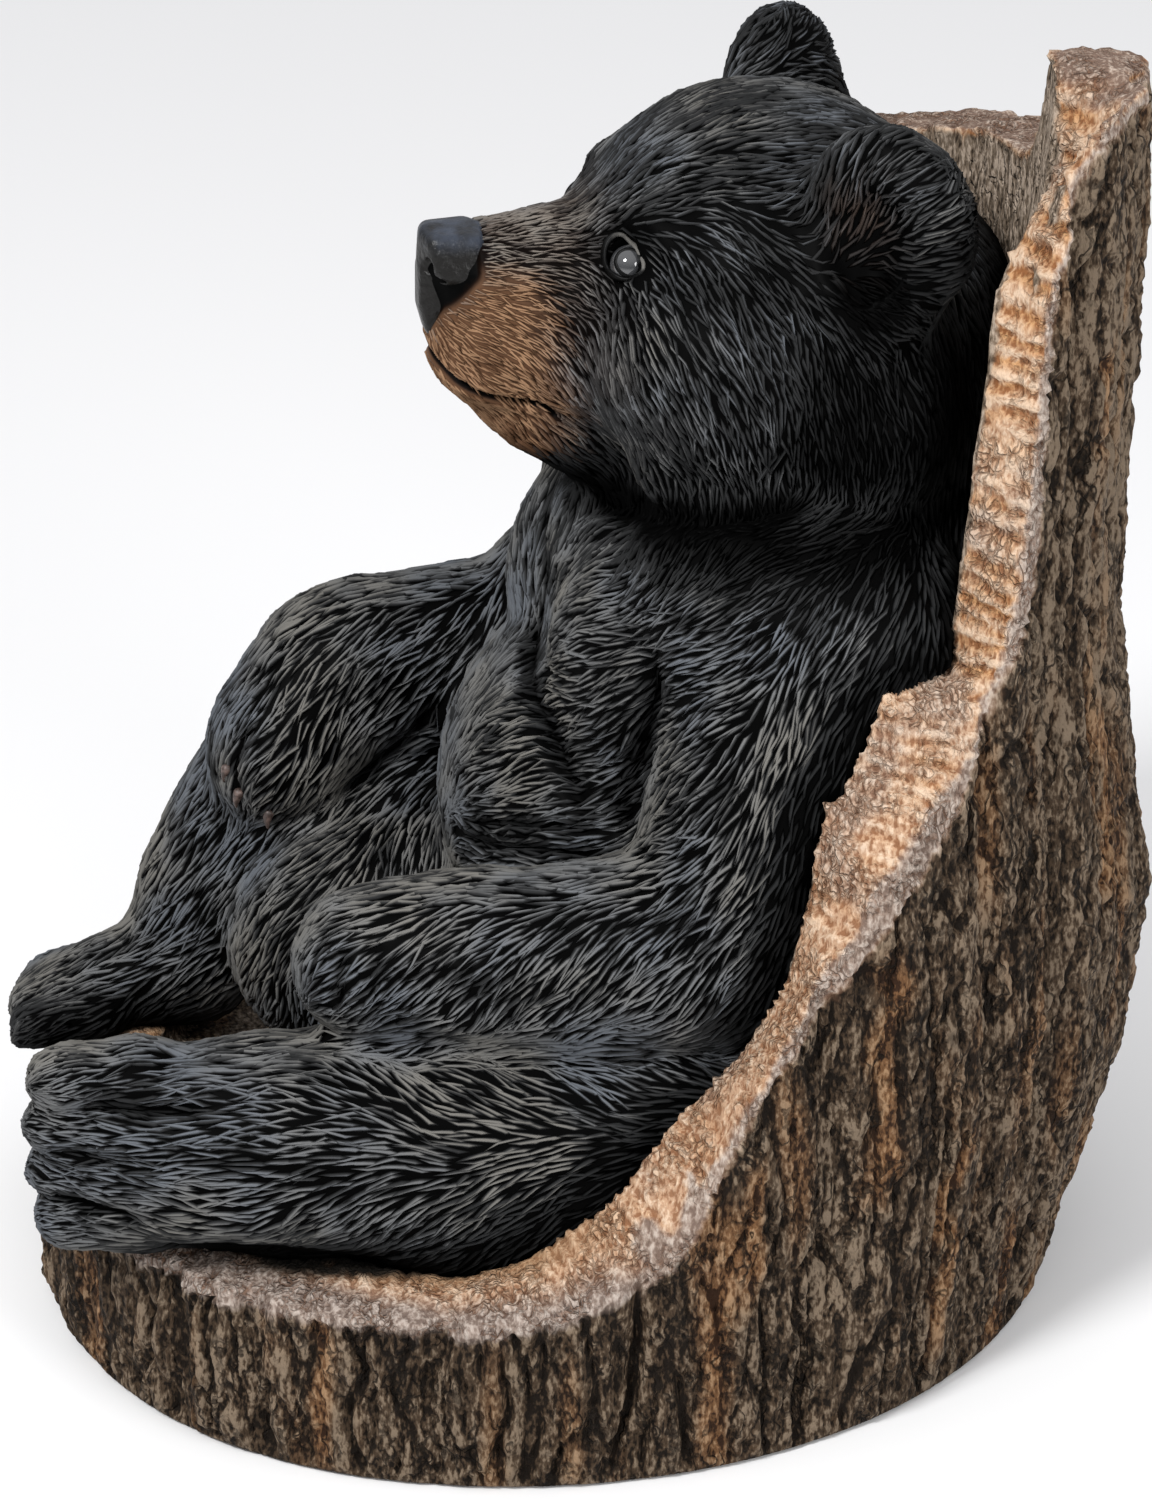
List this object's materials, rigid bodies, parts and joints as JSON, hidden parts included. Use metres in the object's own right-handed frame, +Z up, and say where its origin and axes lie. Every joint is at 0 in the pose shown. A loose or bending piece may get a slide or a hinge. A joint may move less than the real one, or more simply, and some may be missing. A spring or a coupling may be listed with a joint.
{
  "type": "resin bear in stump figurine",
  "caption": "Cast resin figurine of a black bear cub leaning back in a hollow broken tree stump, painted to look like fur and wood.",
  "frame": {"origin": "middle of the flat underside of the stump", "axes": "+Z up along the stump's broken back wall, -Y the way the bear faces, +X the bear's left side"},
  "size_m": [0.3053, 0.3624, 0.3915],
  "materials": {
    "painted_wood": "matte painted resin",
    "painted_fur": "satin painted resin",
    "eye_glaze": "polished bead"
  },
  "bodies": {
    "root": {"stump": "painted_wood", "bear": "painted_fur", "left_eye": "eye_glaze", "right_eye": "eye_glaze"}
  },
  "joints": []
}
